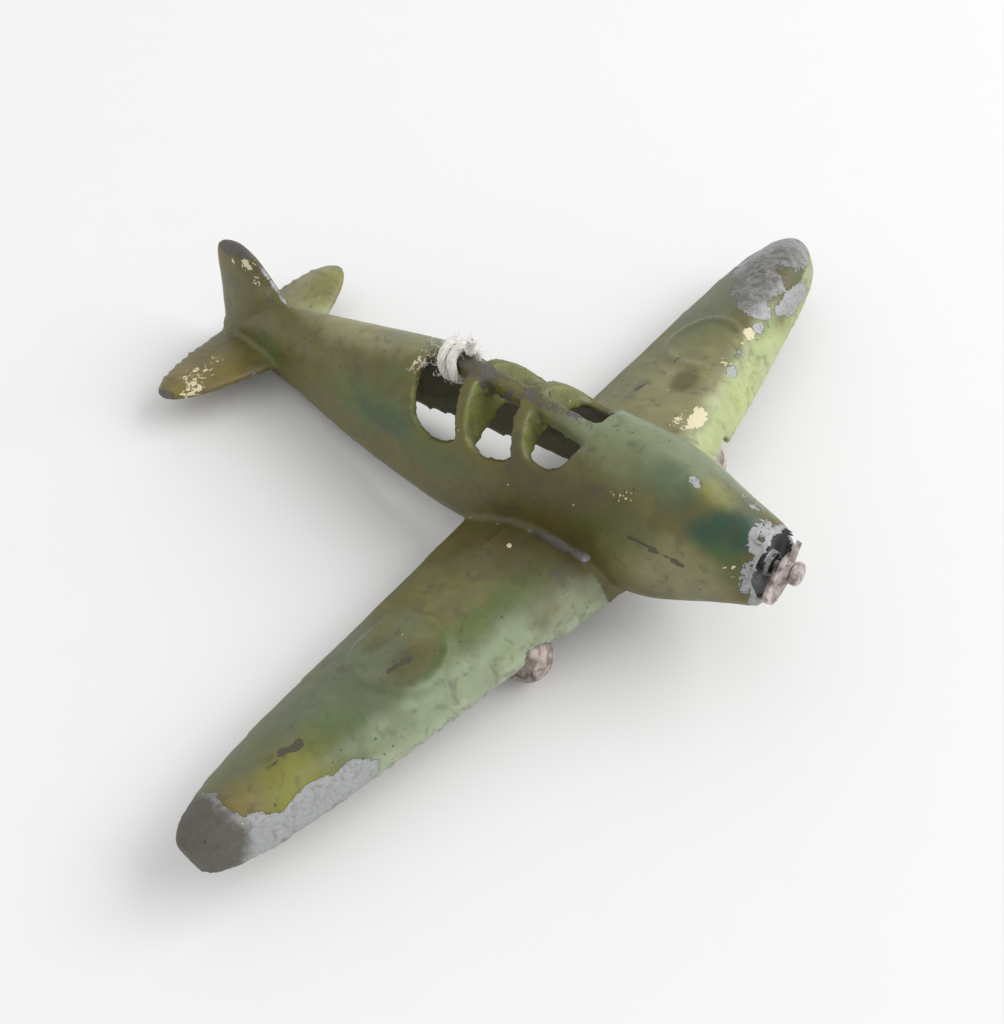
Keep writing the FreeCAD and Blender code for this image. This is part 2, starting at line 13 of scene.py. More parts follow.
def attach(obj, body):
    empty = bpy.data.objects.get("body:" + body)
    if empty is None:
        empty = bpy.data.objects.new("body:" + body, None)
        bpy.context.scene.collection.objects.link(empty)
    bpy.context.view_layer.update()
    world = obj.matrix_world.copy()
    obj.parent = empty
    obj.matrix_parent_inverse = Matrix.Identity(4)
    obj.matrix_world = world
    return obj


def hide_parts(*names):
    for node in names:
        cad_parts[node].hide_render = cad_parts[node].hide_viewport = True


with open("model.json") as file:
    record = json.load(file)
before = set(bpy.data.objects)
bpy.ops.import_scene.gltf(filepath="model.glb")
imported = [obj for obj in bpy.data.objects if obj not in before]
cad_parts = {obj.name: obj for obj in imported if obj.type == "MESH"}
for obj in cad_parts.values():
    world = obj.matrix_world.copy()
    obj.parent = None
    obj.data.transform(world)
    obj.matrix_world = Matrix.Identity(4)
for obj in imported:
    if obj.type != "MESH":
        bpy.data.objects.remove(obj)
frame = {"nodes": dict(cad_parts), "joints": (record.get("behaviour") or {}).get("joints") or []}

bl_info = {
    "name": "Worn Toy Aeroplane",
    "version": (1, 0, 0),
    "blender": (4, 5, 0),
    "location": "View3D > Sidebar > Toy Aeroplane",
    "description": "Builds the finished look of a cast toy aeroplane around its CAD part",
    "category": "Object",
}

MM = 0.001

# The airframe was laid out level, in millimetres, and then tipped onto its wheels and tail.
# The propeller's shaft stands at this place in the level layout.
SHAFT_LEVEL = np.array([17.25, 0.0, 3.5])
SHAFT = next(j for j in frame["joints"] if j["name"] == "propeller_spin")
SHAFT_ROW = np.array(SHAFT["pos_m"]) / MM
STANCE_COS, STANCE_SIN = SHAFT["axis"][0], SHAFT["axis"][2]
TIP_BACK = np.array([
    [STANCE_COS, 0.0, -STANCE_SIN],
    [0.0, 1.0, 0.0],
    [STANCE_SIN, 0.0, STANCE_COS],
])

# The camera's place in millimetres, and the directions of its right, top and back.
CAMERA_PLACE = (66.063, -85.696, 125.262)
CAMERA_RIGHT = (0.7907, 0.61141, 0.03121)
CAMERA_TOP = (-0.48664, 0.59678, 0.638)
CAMERA_BACK = (0.37145, -0.51965, 0.76941)


def srgb(red, green, blue):
    """A scene-linear colour from three display values of 0 to 255."""
    shares = [value / 255 for value in (red, green, blue)]
    return tuple(
        s / 12.92 if s <= 0.04045 else ((s + 0.055) / 1.055) ** 2.4 for s in shares
    )


# Sprayed patches, laid one over another: paint, centre and radii in the level layout (mm), and
# how strongly each covers. The edges are soft, as a spray gun leaves them.
SPRAY = [
    # starboard wing, from the root outwards
    ("deep_olive", (-9, -11, 2), (9, 8, 5), 0.9),
    ("moss", (-9, -23, 2), (8, 7, 5), 0.5),
    ("leaf_green", (-5, -25, 1), (3.4, 13, 4), 0.75),
    ("leaf_green", (-7, -36, 1), (3.4, 7, 4), 0.7),
    ("grey_green", (-13, -37, 3), (5.5, 9, 4), 0.85),
    ("grey_green", (-16, -47, 2), (5, 9, 4), 0.55),
    ("yellow_green", (-9.5, -49, 2), (3.2, 5.5, 4), 0.9),
    ("leaf_green", (-9, -42, 2), (3, 3.5, 4), 0.5),
    ("ochre", (-11.5, -53, 2), (2.6, 2.2, 3), 0.55),
    ("grey_green", (-18, -31, 2), (3, 4, 3), 0.8),
    ("deep_olive", (-8.6, -31.5, 3), (1.8, 3.4, 2), 0.7),
    ("deep_olive", (-14, -31, 3), (1.2, 1.6, 2), 0.55),
    # port wing
    ("moss", (-12, 20, 2), (8, 11, 5), 0.9),
    # Painted sheen on the port wing's top, in pale olive.
    ("khaki_and_sheen", (-9, 22, 2), (6, 9, 4), 0.6),
    ("moss", (-11, 31, 3), (7, 6, 4), 0.6),
    ("grey_green", (-15, 42, 2), (4, 12, 4), 0.8),
    ("leaf_green", (-9, 54, 2), (3, 3.5, 4), 0.6),
    ("deep_olive", (-9.4, 22.5, 2.6), (1.7, 2.4, 2), 0.8),
    ("grey_green", (-14.2, 18.4, 2), (0.8, 2.2, 2), 0.7),
    # body
    ("deep_olive", (-7, -7, 8), (9, 3, 3.6), 0.85),
    ("leaf_green", (1, -7, 6.5), (5, 2.5, 2.5), 0.35),
    # Painted sheen on the top of the nose, in pale grey-green.
    ("sage_sheen", (-1, 2.0, 13), (11, 6.5, 3.0), 0.9),
    ("sage_sheen", (6, 4.0, 10), (9, 3.2, 4.0), 0.9),
    # Painted sheen on the nose's port side, where the light falls.
    ("lime_and_highlight", (6, 5.6, 8), (8, 1.8, 3.2), 0.8),
    ("deep_olive", (-8, -9, 3), (7, 3, 3), 0.8),
    ("bottle_green", (11.6, -2.6, 8.2), (3.4, 3.2, 2.6), 1.0),
    ("bottle_green", (5, -2.4, 11.4), (4.5, 2.2, 1.8), 0.5),
    ("leaf_green", (12.6, -4.8, 5.6), (2.6, 1.6, 2.6), 0.5),
    ("yellow_green", (9.4, -0.4, 10.8), (2.4, 1.5, 1.6), 0.75),
    ("khaki_and_sheen", (8, -6.5, 3.5), (7, 2.5, 3.5), 0.7),
    ("leaf_green", (-36, -5.5, 8), (8, 3, 3), 0.8),
    ("bottle_green", (-33, -6.6, 7.6), (4.5, 2, 1.6), 0.55),
    ("leaf_green", (-24.5, -8, 6.5), (5, 2.5, 2), 0.6),
    ("ochre", (-46, -4.5, 9), (6, 2.6, 2.6), 0.25),
    # Painted sheen along the upward-facing deck, in pale olive.
    ("khaki_and_sheen", (-42, 0.6, 13.6), (13, 3.4, 2.2), 0.85),
    ("leaf_green", (-33, -3.6, 12.6), (2.4, 1.2, 1.2), 0.5),
    ("grey_green", (-34, 2.0, 13.6), (6, 2.6, 1.6), 0.5),
    ("leaf_green", (-58, -3.4, 6.5), (3, 2, 2), 0.6),
    # tail surfaces
    ("ochre", (-62, -11, 5), (6, 6.5, 3), 0.75),
    ("khaki_and_sheen", (-61, 11, 5.5), (6.5, 8, 3), 0.95),
    ("yellow_green", (-60, 12.5, 5.5), (3.5, 4.5, 3), 0.55),
    ("lime_and_highlight", (-58.5, 6, 6.5), (3, 4, 3), 0.5),
    ("khaki_and_sheen", (-57, 2.5, 9), (4, 2.5, 3), 0.8),
]

# Where the paint has gone and the metal shows: centre, radii (mm) and how far it has gone.
BARE = [
    ((-5.4, -44.0, -0.8), (1.8, 3.0, 2.8), 1.25),
    ((-7.0, -49.8, -0.6), (1.7, 4.0, 2.8), 1.05),
    ((-8.8, -54.2, -0.4), (2.3, 3.4, 2.8), 1.0),
    ((-14.0, -59.0, 0.5), (6.5, 5.2, 4.0), 1.35),
    ((-8.0, -40.2, -1.2), (1.0, 2.5, 1.0), 0.35),
    ((-9.6, 40.5, 1.8), (2.6, 2.2, 3.0), 0.75),
    ((-11.5, 45.5, 1.8), (3.4, 5.0, 3.0), 0.66),
    ((-13.5, 52.5, 1.5), (4.2, 8.0, 3.0), 0.72),
    ((-7.6, 47.0, 0.0), (1.3, 7.0, 2.0), 0.75),
    ((-7.2, 37.6, 1.8), (0.9, 1.5, 1.5), 0.75),
    ((-5.9, 28.4, 1.4), (0.8, 0.9, 1.2), 0.75),
    ((-6.6, 31.6, 1.8), (0.8, 1.0, 1.2), 0.55),
    ((16.9, 0.0, 3.5), (1.8, 6.2, 6.2), 1.5),
    ((14.9, -0.6, 7.6), (1.2, 2.6, 2.0), 0.66),
    ((15.2, -4.4, 4.6), (1.1, 1.6, 3.0), 0.6),
    ((12.0, 2.2, 8.8), (2.6, 1.5, 1.5), 0.5),
    ((7.2, -0.9, 12.0), (1.0, 0.7, 1.0), 0.55),
    ((-62.4, 0.0, 20.2), (3.6, 2.0, 2.2), 1.3),
    ((-6.2, -8.9, 2.4), (2.3, 0.6, 0.9), 1.0),
    ((-3.6, -8.4, 1.5), (1.5, 0.6, 0.9), 0.9),
    ((-8.6, -9.1, 2.6), (2.0, 0.5, 0.8), 0.55),
    ((-7.4, 0.8, 14.6), (1.4, 1.5, 1.2), 0.8),
]

# Where the bare metal has gone dark: centre, radii (mm) and depth.
TARNISH = [
    ((-15.5, -60.0, 0.5), (8.5, 6.0, 5.0), 1.0),
    ((-62.4, 0.0, 20.0), (5.0, 3.0, 4.0), 0.9),
    ((-18.0, 0.0, 14.0), (13.0, 2.4, 3.0), 0.85),
    ((-6.0, -8.9, 2.2), (4.5, 1.6, 1.6), 0.8),
    ((-62.0, -17.0, 5.0), (9.0, 6.0, 3.0), 0.75),
    ((-62.0, 16.0, 5.0), (9.0, 4.0, 3.0), 0.6),
    ((-12.5, 46.0, 2.0), (4.0, 12.0, 3.0), 0.5),
]

# Crumbs of old cream undercoat: centre, radii (mm) and how many.
CREAM = [
    ((-4.7, 18.3, 1.3), (1.0, 2.1, 1.5), 1.05),
    ((-6.2, 16.4, 1.8), (0.7, 2.0, 1.2), 0.5),
    ((-4.9, 15.6, 1.2), (1.2, 0.5, 1.0), 0.5),
    ((-7.6, 35.6, 2.1), (0.9, 1.2, 1.2), 0.85),
    ((-7.2, 33.6, 2.1), (0.6, 1.2, 1.0), 0.5),
    ((-6.9, 28.9, 2.0), (0.9, 1.5, 1.0), 0.45),
    ((-60.2, -0.9, 17.4), (1.1, 1.0, 1.0), 0.75),
    ((-62.6, -0.9, 17.2), (0.6, 1.0, 0.8), 0.5),
    ((-59.0, -0.8, 15.4), (0.8, 1.0, 1.2), 0.45),
    ((-60.6, -14.6, 5.9), (1.5, 2.2, 1.2), 0.62),
    ((-62.4, -11.6, 6.2), (2.0, 2.6, 1.2), 0.45),
    ((-63.4, -7.6, 6.2), (1.6, 2.0, 1.2), 0.35),
    ((1.0, -5.4, 10.4), (1.6, 1.2, 1.0), 0.40),
    ((13.6, -5.2, 5.4), (1.2, 1.2, 1.6), 0.42),
    ((-10.5, -12.3, 2.6), (0.5, 0.5, 0.6), 0.75),
    ((-30.6, -1.5, 13.6), (1.8, 1.8, 1.0), 0.5),
]

# Dark marks worn or scored into the paint: one end, the other end, half width (mm), strength.
SCRATCHES = [
    ((2.3, -7.2, 6.5), (5.2, -6.9, 5.9), 0.30, 0.9),
    ((4.9, -6.9, 6.0), (8.8, -6.3, 4.5), 0.42, 1.0),
    ((-11.3, -45.4, 3.0), (-12.0, -47.2, 2.9), 0.62, 0.95),
    ((-11.6, -48.3, 2.9), (-11.9, -49.0, 2.9), 0.45, 0.8),
    ((-9.0, -30.0, 3.0), (-9.8, -33.4, 3.0), 0.55, 0.75),
    ((-13.0, -28.6, 2.6), (-13.6, -31.0, 2.6), 0.5, 0.6),
    ((-14.6, 16.8, 2.0), (-13.8, 20.0, 2.0), 0.45, 0.7),
    ((-15.6, 22.0, 1.8), (-15.2, 25.2, 1.8), 0.4, 0.6),
    ((-12.6, 24.8, 2.6), (-12.2, 27.0, 2.6), 0.4, 0.6),
    ((-2.6, -14.6, 0.4), (-1.6, -11.0, 0.0), 0.35, 0.5),
    ((-15.0, 36.6, 1.8), (-12.6, 41.0, 2.4), 0.5, 0.6),
]

# Fine raised lines that the mould left: points along each line, half width and height (mm).
MOULD_LINES = [
    (((-11.4, -8.9, 3.2), (-12.7, -9.6, 2.4), (-12.9, -11.2, 2.3), (-13.1, -13.4, 2.1)), 0.22, 0.16),
]


# ---------------------------------------------------------------- shared workshop helpers


def level_from_row(points):
    """Row-frame metres to millimetres in the airframe's level layout."""
    return (np.asarray(points) / MM - SHAFT_ROW) @ TIP_BACK + SHAFT_LEVEL


def row_from_level(points):
    """Millimetres in the level layout to row-frame metres."""
    return ((np.asarray(points) - SHAFT_LEVEL) @ TIP_BACK.T + SHAFT_ROW) * MM


def select_only(*objects):
    """Deselects everything, then selects these objects and makes the first one active."""
    bpy.ops.object.select_all(action="DESELECT")
    for item in objects:
        item.select_set(True)
    bpy.context.view_layer.objects.active = objects[0]


def apply_modifier(piece, kind, **settings):
    """Adds one modifier to a piece and applies it."""
    modifier = piece.modifiers.new(kind.title(), kind)
    for name, value in settings.items():
        setattr(modifier, name, value)
    select_only(piece)
    bpy.ops.object.modifier_apply(modifier=modifier.name)


def worn_copy(node, name, grid, softening, wobble, wobble_size):
    """A copy of a CAD piece with its edges softened and its faces slightly uneven, as a
    casting or a rusted pressing has them."""
    piece = bpy.data.objects.new(name, frame["nodes"][node].data.copy())
    bpy.context.scene.collection.objects.link(piece)
    piece.data.materials.clear()
    select_only(piece)
    bpy.ops.object.mode_set(mode="EDIT")
    bpy.ops.mesh.select_all(action="SELECT")
    bpy.ops.mesh.remove_doubles(threshold=0.001 * MM)
    bpy.ops.object.mode_set(mode="OBJECT")
    apply_modifier(piece, "REMESH", mode="VOXEL", voxel_size=grid)
    apply_modifier(piece, "SMOOTH", factor=0.5, iterations=softening)
    clouds = bpy.data.textures.new(f"{name}_wobble", "CLOUDS")
    clouds.noise_scale = wobble_size
    clouds.noise_depth = 2
    apply_modifier(
        piece, "DISPLACE", texture=clouds, texture_coords="LOCAL", strength=wobble, mid_level=0.5
    )
    bpy.ops.object.shade_smooth()
    return piece


def hand_over(piece, body, material, slot, *nodes):
    """Gives a finished piece its material, its body and the CAD nodes it stands for; slot is not used.
    """
    piece.data.materials.clear()
    piece.data.materials.append(material)
    if nodes:
        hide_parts(*nodes)
    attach(piece, body)


def mesh_arrays(mesh):
    """A mesh's points and point normals as arrays."""
    points = np.empty(len(mesh.vertices) * 3)
    mesh.vertices.foreach_get("co", points)
    normals = np.empty(len(mesh.vertices) * 3, np.float32)
    mesh.vertex_normals.foreach_get("vector", normals)
    return points.reshape(-1, 3), normals.reshape(-1, 3).astype(float)


def grain(points, size, seed):
    """Smooth cloudy values of about -1 to 1 at each point, with features of that size in mm."""
    shift = Vector((seed * 17.3, seed * 5.1, seed * 9.7))
    return np.array([noise.fractal(Vector(p) / size + shift, 0.6, 2.0, 3) for p in points])


def ramp(low, high, values):
    """0 at low and below, 1 at high and above, with a smooth rise between them."""
    t = np.clip((values - low) / (high - low), 0, 1)
    return t * t * (3 - 2 * t)


def blob(points, centre, radii, uneven, edge=0.35):
    """1 well inside a soft-edged egg shape and 0 outside it; uneven roughens its outline."""
    reach = np.linalg.norm((points - np.array(centre)) / np.array(radii), axis=1) + uneven
    return 1 - ramp(1 - edge, 1 + edge, reach)


def near_line(points, ends):
    """Each point's distance in mm from a line through two or more points."""
    nearest = np.full(len(points), np.inf)
    for start, end in zip(ends[:-1], ends[1:]):
        start, along = np.array(start), np.array(end) - np.array(start)
        share = np.clip((points - start) @ along / (along @ along), 0, 1)
        offset = points - start - share[:, None] * along
        nearest = np.minimum(nearest, np.linalg.norm(offset, axis=1))
    return nearest


def store(mesh, name, values):
    """Keeps one number, or one colour, for each point of a mesh."""
    if values.ndim == 1:
        attribute = mesh.attributes.new(name, "FLOAT", "POINT")
        attribute.data.foreach_set("value", values.astype(np.float32))
    else:
        opaque = np.column_stack([values, np.ones(len(values))])
        attribute = mesh.attributes.new(name, "FLOAT_COLOR", "POINT")
        attribute.data.foreach_set("color", opaque.astype(np.float32).ravel())


# ---------------------------------------------------------------- shader helpers


class Shader:
    """A material's node tree, with one short call for each kind of node."""

    def __init__(self, name):
        self.material = bpy.data.materials.new(name)
        self.material.use_nodes = True
        self.tree = self.material.node_tree
        self.surface = self.tree.nodes["Principled BSDF"]
        self.place = self.add("ShaderNodeTexCoord").outputs["Object"]

    def feed(self, socket, value):
        """Links a socket to another's output, or sets its value."""
        if isinstance(value, bpy.types.NodeSocket):
            self.tree.links.new(value, socket)
        elif socket.type == "RGBA" and len(value) == 3:
            socket.default_value = (*value, 1.0)
        else:
            socket.default_value = value

    def add(self, kind, sockets=None, **settings):
        """One node, with its settings and its input sockets filled in."""
        made = self.tree.nodes.new(kind)
        for name, value in settings.items():
            setattr(made, name, value)
        for name, value in (sockets or {}).items():
            self.feed(made.inputs[name], value)
        return made

    def own(self, name, output="Fac"):
        """A value that the mesh keeps for each of its points."""
        return self.add("ShaderNodeAttribute", attribute_name=name).outputs[output]

    def cloud(self, size, detail=4.0, distortion=0.0, seed=0.0):
        """Cloudy values of 0 to 1, with features of that size in mm."""
        sockets = {
            "Vector": self.place, "W": seed, "Scale": 1 / (size * MM),
            "Detail": detail, "Distortion": distortion,
        }
        return self.add("ShaderNodeTexNoise", sockets, noise_dimensions="4D").outputs["Fac"]

    def specks(self, spacing, radius, share, seed=0.0):
        """1 in small scattered specks and 0 elsewhere; spacing and radius are in mm."""
        shifted = self.add(
            "ShaderNodeMapping", {"Vector": self.place, "Location": (seed, seed, seed)}
        ).outputs["Vector"]
        cells = self.add("ShaderNodeTexVoronoi", {"Vector": shifted, "Scale": 1 / (spacing * MM)})
        lot = self.add("ShaderNodeSeparateColor", {"Color": cells.outputs["Color"]}).outputs["Red"]
        chosen = self.rise(1 - share, 1 - share + 0.01, lot)
        inside = self.rise(radius / spacing * 1.3, radius / spacing * 0.7, cells.outputs["Distance"])
        return self.sum("MULTIPLY", chosen, inside)

    def sum(self, operation, first, second, clamp=False):
        """One arithmetic step on two values."""
        made = self.add("ShaderNodeMath", operation=operation, use_clamp=clamp)
        self.feed(made.inputs[0], first)
        self.feed(made.inputs[1], second)
        return made.outputs[0]

    def rise(self, low, high, value):
        """0 at low, 1 at high, with a smooth rise between them."""
        sockets = {"Value": value, "From Min": low, "From Max": high}
        return self.add(
            "ShaderNodeMapRange", sockets, interpolation_type="SMOOTHSTEP"
        ).outputs["Result"]

    def spread(self, value, low, high):
        """A value of 0 to 1 moved onto low to high."""
        sockets = {"Value": value, "To Min": low, "To Max": high}
        return self.add("ShaderNodeMapRange", sockets).outputs["Result"]

    def blend(self, share, under, over):
        """A second colour laid over a first by a share of 0 to 1."""
        made = self.add("ShaderNodeMix", data_type="RGBA", blend_type="MIX")
        for index, value in ((0, share), (6, under), (7, over)):
            self.feed(made.inputs[index], value)
        return made.outputs[2]

    def relief(self, height, depth, strength=1.0):
        """A surface normal from heights of 0 to 1 that stand for that depth in mm."""
        sockets = {"Height": height, "Distance": depth * MM, "Strength": strength}
        return self.add("ShaderNodeBump", sockets).outputs["Normal"]

    def finish(self, **sockets):
        """Fills in the surface's own sockets; underscores in the names stand for spaces."""
        for name, value in sockets.items():
            self.feed(self.surface.inputs[name.replace("_", " ")], value)
        return self.material


# ---------------------------------------------------------------- sizes and colours


def colour(name, shade, description):
    """A colour property with its default."""
    return bpy.props.FloatVectorProperty(
        name=name, description=description, default=srgb(*shade),
        subtype="COLOR", size=3, min=0.0, max=1.0,
    )


def length(name, size, description, largest=0.1):
    """A length property in metres with its default."""
    return bpy.props.FloatProperty(
        name=name, description=description, default=size,
        subtype="DISTANCE", unit="LENGTH", min=0.00001, max=largest, precision=5,
    )


def share(name, value, description):
    """A plain number property of 0 to 1 with its default."""
    return bpy.props.FloatProperty(
        name=name, description=description, default=value, min=0.0, max=1.0, subtype="FACTOR"
    )


class CastingSettings(bpy.types.PropertyGroup):
    """How the cast airframe is meshed and how uneven its skin is."""

    grid: length("Grid", 0.38 * MM, "Spacing of the airframe's mesh")
    softening: bpy.props.IntProperty(
        name="Softening", description="Rounds of smoothing on the cast edges", default=2, min=0, max=20
    )
    wobble: length("Wobble", 0.16 * MM, "How far the cast skin wanders from true")
    wobble_size: length("Wobble Size", 4.5 * MM, "How broad the skin's hollows and swellings are")
    chip_depth: length("Chip Depth", 0.05 * MM, "Thickness of the paint that has chipped away")


class PaintSettings(bpy.types.PropertyGroup):
    """The sprayed enamels and the metal under them."""

    olive_brown: colour("Olive Brown", (96, 91, 42), "Main colour of the body and wings")
    deep_olive: colour("Deep Olive", (80, 72, 30), "Darkest brown of the camouflage")
    moss: colour("Moss", (116, 116, 74), "Greyer olive of the wings")
    # Pale olive paint, and painted sheen that lightens the deck and the port wing's top.
    khaki_and_sheen: colour("Khaki", (138, 134, 96), "Pale olive of the worn deck and nose")
    # Painted sheen on the top of the nose, in pale grey-green.
    sage_sheen: colour("Sage", (118, 130, 98), "Pale faded green on the top of the nose")
    grey_green: colour("Grey Green", (92, 102, 76), "Faded green over the wings")
    leaf_green: colour("Leaf Green", (76, 96, 44), "Middle green of the camouflage")
    bottle_green: colour("Bottle Green", (36, 68, 44), "Darkest green of the camouflage")
    yellow_green: colour("Yellow Green", (122, 122, 46), "Yellow green near the wingtips")
    # Pale grey-green paint with a painted highlight, laid along the starboard wing's leading edge and
    # its mould joint.
    pale_green_and_highlight: colour("Pale Green", (158, 170, 142), "Rubbed leading edge of the starboard wing")
    # Pale yellow-green paint, and painted highlight and sheen on the port wing's leading edge and the
    # nose's port side.
    lime_and_highlight: colour("Lime", (172, 182, 128), "Pale lime along the port wing and the mould joint")
    hoop_lime: colour("Hoop Lime", (120, 126, 70), "Overspray on the front of the hoops")
    ochre: colour("Ochre", (122, 106, 56), "Ochre of the tailplane")
    cream: colour("Cream", (212, 202, 164), "Crumbs of undercoat")
    score: colour("Score", (62, 58, 48), "Dark marks and worn edges")
    cabin: colour("Cabin", (116, 112, 82), "Dirty paint inside the hollow body")
    # Near-black laid over the nose's recess.
    recess: colour("Recess", (34, 31, 33), "Black grime in the nose's recess")
    metal: colour("Metal", (172, 174, 175), "Bare cast metal")
    tarnish: colour("Tarnish", (100, 96, 91), "Bare metal gone dark")
    gloss: share("Gloss", 0.62, "How glossy the enamel is")


class IronSettings(bpy.types.PropertyGroup):
    """The propeller, its pin, the wheels and the axle."""

    grid: length("Grid", 0.11 * MM, "Spacing of the small parts' meshes")
    wobble: length("Wobble", 0.05 * MM, "How pitted the small parts are")
    bloom: colour("Bloom", (208, 198, 195), "Pale pinkish bloom on old iron")
    rust: colour("Rust", (128, 92, 70), "Orange-brown rust")
    iron: colour("Iron", (120, 106, 100), "Dark iron under the rust")
    wheel_side: colour("Wheel Side", (118, 108, 101), "Dull sides of the cast wheels")
    wheel_tread: colour("Wheel Tread", (206, 190, 182), "Paler tread of the cast wheels")


class StringSettings(bpy.types.PropertyGroup):
    """The string wrapped round the canopy's spine."""

    white: colour("White", (238, 236, 230), "Cotton")
    soiled: colour("Soiled", (196, 190, 178), "Cotton where it has picked up dirt")
    thickness: length("Thickness", 1.25 * MM, "Thickness of the string")
    turns: bpy.props.FloatProperty(
        name="Turns", description="Turns round the spine", default=2.1, min=1.0, max=6.0
    )
    hairs: bpy.props.IntProperty(
        name="Hairs", description="Loose fibres on the string", default=400, min=0, max=3000
    )
    lint: bpy.props.IntProperty(
        name="Lint", description="Loose fibres caught on the deck behind it", default=45, min=0, max=1000
    )


class StageSettings(bpy.types.PropertyGroup):
    """The floor, the light and the camera."""

    floor: colour("Floor", (233, 233, 233), "Pale floor")
    floor_size: length("Floor Size", 4.0, "Side of the floor", largest=20.0)
    sky: bpy.props.FloatProperty(
        name="Sky", description="Strength of the even light from all round", default=0.80, min=0.0
    )
    window: bpy.props.FloatProperty(
        name="Window", description="Power of the large soft light", default=12.0, min=0.0, unit="POWER"
    )
    window_size: length("Window Size", 1.3, "Width of the large soft light", largest=5.0)
    lens: bpy.props.FloatProperty(
        name="Lens", description="Focal length", default=45.205, min=1.0, unit="CAMERA"
    )


# ---------------------------------------------------------------- the airframe

# The recess in the nose round the pin's boss: its radius, and where along the body it starts (mm).
RECESS_RADIUS = 4.02
RECESS_START = 14.6


def leading_edge_x(side):
    """The leading edge's place along the body, for distances out from the middle line."""
    return np.interp(side, [8, 20, 30, 40, 50, 56, 60], [0.6, -1.4, -3.2, -5.2, -7.6, -9.6, -14.5])


def painted(skin, paint, cover):
    """The colours after one more paint is laid over them; cover is 0 to 1 at each point."""
    cover = np.clip(cover, 0, 1)[:, None]
    return skin * (1 - cover) + np.array(paint) * cover


def weather(points, normals, paints):
    """Works out the paint and the wear at every point of the airframe.
    points are millimetres in the level layout. Returns a dictionary of arrays."""
    x, y, z = points.T
    broad, fine = grain(points, 6.0, 1), grain(points, 1.4, 2)
    uneven = 0.30 * broad + 0.10 * fine
    skin = np.tile(np.array(paints.olive_brown), (len(points), 1))
    for paint, centre, radii, cover in SPRAY:
        skin = painted(
            skin, getattr(paints, paint), cover * blob(points, centre, radii, uneven, edge=0.45)
        )

    out = np.column_stack([np.zeros(len(points)), y, z - 5.0])
    out /= np.linalg.norm(out, axis=1)[:, None] + 1e-9
    facing_in = ramp(0.05, -0.35, (out * normals).sum(axis=1))
    hollow = facing_in * (np.abs(y) < 7.6) * (x < 14) * (x > -56) * (z > -3.6)
    skin = painted(skin, paints.cabin, hollow)
    cabin = (x > -29.5) & (x < -5.5) & (z > 5.5) & (np.abs(y) < 8)
    overspray = cabin * ramp(0.35, 0.8, normals[:, 0]) * (0.85 + 0.3 * broad)
    skin = painted(skin, paints.hoop_lime, overspray)
    edge_x = leading_edge_x(np.abs(y))
    back = edge_x - x + 0.9 * broad
    wing = (np.abs(y) > 8.6) & (x > -22)
    inboard = 1 - ramp(38, 46, np.abs(y) + 2 * broad)
    starboard, port = wing * inboard * (y < 0), wing * inboard * (y > 0)
    # Painted highlight along the starboard wing's leading edge, over pale paint.
    skin = painted(skin, paints.pale_green_and_highlight, starboard * 0.62 * ramp(3.4, 1.0, back))
    # Painted highlight along the port wing's leading edge, over pale yellow-green paint.
    skin = painted(skin, paints.lime_and_highlight, port * ramp(4.2, 1.6, back))
    # The mould joint under each leading edge takes the same pale paint and painted highlight as the edge
    # above it.
    joint = wing * ramp(0.9, 0.1, back - 0.9 * broad) * (normals[:, 2] < 0.5)
    skin = painted(skin, paints.lime_and_highlight, 0.7 * joint * (y > 0))
    skin = painted(skin, paints.pale_green_and_highlight, 0.7 * joint * (y < 0))

    bare = np.zeros(len(points))
    for centre, radii, gone in BARE:
        bare = np.maximum(bare, gone * blob(points, centre, radii, 0.25 * broad))
    spine = cabin & (np.abs(y) < 1.7) & (z > 12.2)
    bare = np.maximum(bare, spine * (0.48 + 0.3 * broad))
    rim = cabin * ramp(0.25, 0.7, 1 - np.abs((out * normals).sum(axis=1))) * (z > 7)
    bare = np.maximum(bare, 0.34 * rim)
    tail_edge = ramp(-58.6, -57.0, x - 0.16 * (np.abs(y) - 6)) * (np.abs(y) > 6) * (x < -50)
    bare = np.maximum(bare, 0.72 * tail_edge)
    bare = np.maximum(bare, 0.85 * ramp(15.2, 17.2, np.abs(y)) * (x < -50))
    fin_edge = ramp(0.25, 0.75, normals[:, 0]) * (z > 12.5) * (x < -50)
    bare = np.maximum(bare, 0.62 * fin_edge)
    bare = np.maximum(bare, 0.30 * joint)
    # The nose's recess round the pin's boss is laid over with near-black and keeps no bare metal.
    recess = (np.hypot(y, z - SHAFT_LEVEL[2]) < RECESS_RADIUS) & (x > RECESS_START)
    recess &= (normals[:, 0] > 0.3) | ((out * normals).sum(axis=1) < -0.2)
    skin = painted(skin, paints.recess, recess.astype(float))
    bare[recess] = 0.0

    dark = np.zeros(len(points))
    for centre, radii, depth in TARNISH:
        dark = np.maximum(dark, depth * blob(points, centre, radii, 0.2 * broad))
    crumbs = np.zeros(len(points))
    for centre, radii, many in CREAM:
        crumbs = np.maximum(crumbs, many * blob(points, centre, radii, 0.25 * fine, edge=0.5))
    scores = np.zeros(len(points))
    for start, end, half, depth in SCRATCHES:
        away = near_line(points, (start, end)) / (0.7 * half) + 0.9 * fine
        scores = np.maximum(scores, depth * (1 - ramp(0.5, 1.5, away)))
    raised = np.zeros(len(points))
    for ends, half, height in MOULD_LINES:
        raised = np.maximum(raised, height * (1 - ramp(0.0, 2 * half, near_line(points, ends))))
    sunk = ramp(0.45, 0.6, bare) + 0.8 * scores
    return {
        "paint": skin, "bare": bare, "dark": dark, "crumbs": crumbs, "scores": scores,
        "raised": raised, "sunk": sunk,
    }


